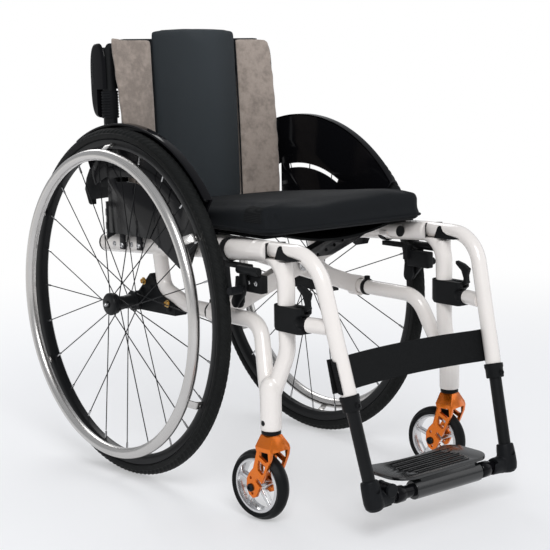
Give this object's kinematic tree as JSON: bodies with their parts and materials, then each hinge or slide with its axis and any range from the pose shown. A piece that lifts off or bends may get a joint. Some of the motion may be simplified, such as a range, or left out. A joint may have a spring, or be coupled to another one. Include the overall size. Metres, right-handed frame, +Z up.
{
  "type": "folding manual wheelchair",
  "caption": "Folding lightweight manual wheelchair with an X brace, swing-away footrest hangers, spoked rear wheels and handrims, swivel casters and a padded fold-down back.",
  "frame": {"origin": "centre of the object's outline on the floor that the wheels stand on", "axes": "+Z up, +Y towards the rear, -Y is the way the occupant faces, +X towards the occupant's left"},
  "size_m": [0.517, 0.8696, 0.7695],
  "materials": {
    "white_frame": "gloss white paint",
    "black_metal": "satin black coat",
    "black_cast": "fine moulded grain",
    "black_gloss": "gloss black",
    "tyre_rubber": "matt black tread rubber",
    "elbow_rubber": "satin black rubber",
    "silver_tube": "satin anodised",
    "polished_alloy": "polished",
    "orange_alloy": "orange anodised",
    "bare_steel": "bright",
    "seat_fabric": "black woven cover",
    "back_mesh": "charcoal spacer mesh",
    "taupe_suede": "taupe brushed suede",
    "strap_web": "black webbing"
  },
  "bodies": {
    "right_side": {"side_frame_r": "white_frame", "axle_bracket_r": "black_cast", "side_guard_r": "black_gloss", "cane_foot_r": "black_cast", "brake_clamp_r": "black_cast", "latch_housing_r": "black_cast"},
    "left_side": {"side_frame_l": "white_frame", "axle_bracket_l": "black_cast", "side_guard_l": "black_gloss", "cane_foot_l": "black_cast", "brake_clamp_l": "black_cast", "latch_housing_l": "black_cast"},
    "brace_front": {"cross_arm_a": "white_frame", "cross_bolt": "bare_steel", "seat_rail_l": "white_frame"},
    "brace_rear": {"cross_arm_b": "white_frame", "seat_rail_r": "white_frame"},
    "seat": {"seat_sling": "seat_fabric", "seat_cushion": "seat_fabric"},
    "foot_bar": {"foot_bar": "black_gloss"},
    "foot_plate": {"footplate": "black_gloss"},
    "back_right": {"back_cane_r": "black_metal", "back_shell": "seat_fabric", "back_pad": "back_mesh", "bolster_r": "taupe_suede", "bolster_l": "taupe_suede"},
    "back_left": {"back_cane_l": "black_metal"},
    "wheel_right": {"rear_tyre_r": "tyre_rubber", "rear_rim_r": "black_metal", "handrim_r": "silver_tube", "rear_hub_r": "black_metal"},
    "axle_button_right": {"axle_button_r": "bare_steel"},
    "fork_right": {"caster_fork_r": "orange_alloy", "caster_axle_r": "black_metal"},
    "caster_right": {"caster_rim_r": "polished_alloy", "caster_tyre_r": "tyre_rubber"},
    "hanger_right": {"hanger_r": "white_frame", "hanger_collar_r": "black_cast", "calf_strap": "strap_web"},
    "post_right": {"hanger_post_r": "black_metal", "foot_elbow_r": "elbow_rubber"},
    "latch_right": {"latch_lever_r": "black_cast"},
    "brake_right": {"brake_lever_r": "black_metal"},
    "handle_right": {"push_handle_r": "black_gloss"},
    "wheel_left": {"rear_tyre_l": "tyre_rubber", "rear_rim_l": "black_metal", "handrim_l": "silver_tube", "rear_hub_l": "black_metal"},
    "axle_button_left": {"axle_button_l": "bare_steel"},
    "fork_left": {"caster_fork_l": "orange_alloy", "caster_axle_l": "black_metal"},
    "caster_left": {"caster_rim_l": "polished_alloy", "caster_tyre_l": "tyre_rubber"},
    "hanger_left": {"hanger_l": "white_frame", "hanger_collar_l": "black_cast"},
    "post_left": {"hanger_post_l": "black_metal", "foot_elbow_l": "elbow_rubber"},
    "latch_left": {"latch_lever_l": "black_cast"},
    "brake_left": {"brake_lever_l": "black_metal"},
    "handle_left": {"push_handle_l": "black_gloss"}
  },
  "joints": [
    {"name": "fold", "type": "hinge", "parent": "right_side", "child": "brace_front", "pos_m": [-0.172, -0.08445, 0.306], "axis": [0, -1, 0], "range_deg": [0, 45], "deforming": ["seat_sling", "seat_cushion", "calf_strap"]},
    {"name": "fold_brace", "type": "hinge", "parent": "brace_front", "child": "brace_rear", "pos_m": [0, -0.04245, 0.3679], "axis": [0, -1, 0], "range_deg": [-90, 0]},
    {"name": "fold_left_side", "type": "hinge", "parent": "brace_rear", "child": "left_side", "pos_m": [0.172, -0.04245, 0.306], "axis": [0, -1, 0], "range_deg": [0, 45]},
    {"name": "fold_seat", "type": "hinge", "parent": "brace_front", "child": "seat", "pos_m": [0.142, -0.08445, 0.419], "axis": [0, -1, 0], "range_deg": [-45, 0]},
    {"name": "wheel_turn_right", "type": "hinge", "parent": "right_side", "child": "wheel_right", "pos_m": [-0.214, 0.13255, 0.3], "axis": [1, 0, 0], "continuous": true},
    {"name": "axle_release_right", "type": "slide", "parent": "right_side", "child": "axle_button_right", "axis": [1, 0, 0], "range_m": [0, 0.005], "stiffness_N_per_m": 400},
    {"name": "caster_swivel_right", "type": "hinge", "parent": "right_side", "child": "fork_right", "pos_m": [-0.197, -0.24745, 0.148], "axis": [0, 0, 1], "continuous": true},
    {"name": "caster_turn_right", "type": "hinge", "parent": "fork_right", "child": "caster_right", "pos_m": [-0.20048, -0.2227, 0.056], "axis": [0.9903, 0.1392, 0], "continuous": true},
    {"name": "hanger_swing_right", "type": "hinge", "parent": "right_side", "child": "hanger_right", "pos_m": [-0.172, -0.24845, 0.404], "axis": [0, 0, -1], "range_deg": [0, 90]},
    {"name": "leg_length_right", "type": "slide", "parent": "hanger_right", "child": "post_right", "axis": [-0.0643, 0.2545, 0.9649], "range_m": [0, 0.04]},
    {"name": "latch_press_right", "type": "hinge", "parent": "right_side", "child": "latch_right", "pos_m": [-0.172, -0.28645, 0.331], "axis": [1, 0, 0], "range_deg": [0, 20], "stiffness_Nm_per_rad": 0.4, "springref_deg": -11.46},
    {"name": "brake_throw_right", "type": "hinge", "parent": "right_side", "child": "brake_right", "pos_m": [-0.193, -0.15945, 0.336], "axis": [-1, 0, 0], "range_deg": [0, 27]},
    {"name": "wheel_turn_left", "type": "hinge", "parent": "left_side", "child": "wheel_left", "pos_m": [0.214, 0.13255, 0.3], "axis": [1, 0, 0], "continuous": true},
    {"name": "axle_release_left", "type": "slide", "parent": "left_side", "child": "axle_button_left", "axis": [-1, 0, 0], "range_m": [0, 0.005], "stiffness_N_per_m": 400},
    {"name": "caster_swivel_left", "type": "hinge", "parent": "left_side", "child": "fork_left", "pos_m": [0.197, -0.24745, 0.148], "axis": [0, 0, 1], "continuous": true},
    {"name": "caster_turn_left", "type": "hinge", "parent": "fork_left", "child": "caster_left", "pos_m": [0.1918, -0.223, 0.056], "axis": [0.9781, 0.2079, 0], "continuous": true},
    {"name": "hanger_swing_left", "type": "hinge", "parent": "left_side", "child": "hanger_left", "pos_m": [0.172, -0.24845, 0.404], "axis": [0, 0, 1], "range_deg": [0, 90]},
    {"name": "leg_length_left", "type": "slide", "parent": "hanger_left", "child": "post_left", "axis": [0.0643, 0.2545, 0.9649], "range_m": [0, 0.04]},
    {"name": "latch_press_left", "type": "hinge", "parent": "left_side", "child": "latch_left", "pos_m": [0.172, -0.28645, 0.331], "axis": [1, 0, 0], "range_deg": [0, 20], "stiffness_Nm_per_rad": 0.4, "springref_deg": -11.46},
    {"name": "brake_throw_left", "type": "hinge", "parent": "left_side", "child": "brake_left", "pos_m": [0.193, -0.15945, 0.336], "axis": [-1, 0, 0], "range_deg": [0, 27]},
    {"name": "foot_bar_lift", "type": "hinge", "parent": "post_right", "child": "foot_bar", "pos_m": [-0.118, -0.41945, 0.078], "axis": [0, -1, 0], "range_deg": [0, 90]},
    {"name": "foot_plate_flip", "type": "hinge", "parent": "foot_bar", "child": "foot_plate", "pos_m": [0, -0.41945, 0.064], "axis": [1, 0, 0], "range_deg": [0, 90]},
    {"name": "back_fold", "type": "hinge", "parent": "right_side", "child": "back_right", "pos_m": [-0.172, 0.21655, 0.528], "axis": [-1, 0, 0], "range_deg": [-75, 0], "deforming": ["back_shell", "back_pad", "bolster_r", "bolster_l"]},
    {"name": "back_fold_left", "type": "hinge", "parent": "left_side", "child": "back_left", "pos_m": [0.172, 0.21655, 0.528], "axis": [-1, 0, 0], "range_deg": [-75, 0]},
    {"name": "handle_lift_right", "type": "hinge", "parent": "back_right", "child": "handle_right", "pos_m": [-0.172, 0.24693, 0.7215], "axis": [-1, 0, 0], "range_deg": [-90, 0]},
    {"name": "handle_lift_left", "type": "hinge", "parent": "back_left", "child": "handle_left", "pos_m": [0.172, 0.24693, 0.7215], "axis": [-1, 0, 0], "range_deg": [-90, 0]}
  ],
  "couplings": [
    {"joint": "fold_brace", "follows": "fold", "ratio": -2},
    {"joint": "fold_left_side", "follows": "fold", "ratio": 1},
    {"joint": "fold_seat", "follows": "fold", "ratio": -1},
    {"joint": "foot_bar_lift", "follows": "fold", "ratio": 2},
    {"joint": "back_fold_left", "follows": "back_fold", "ratio": 1},
    {"joint": "leg_length_left", "follows": "leg_length_right", "ratio": 1}
  ]
}
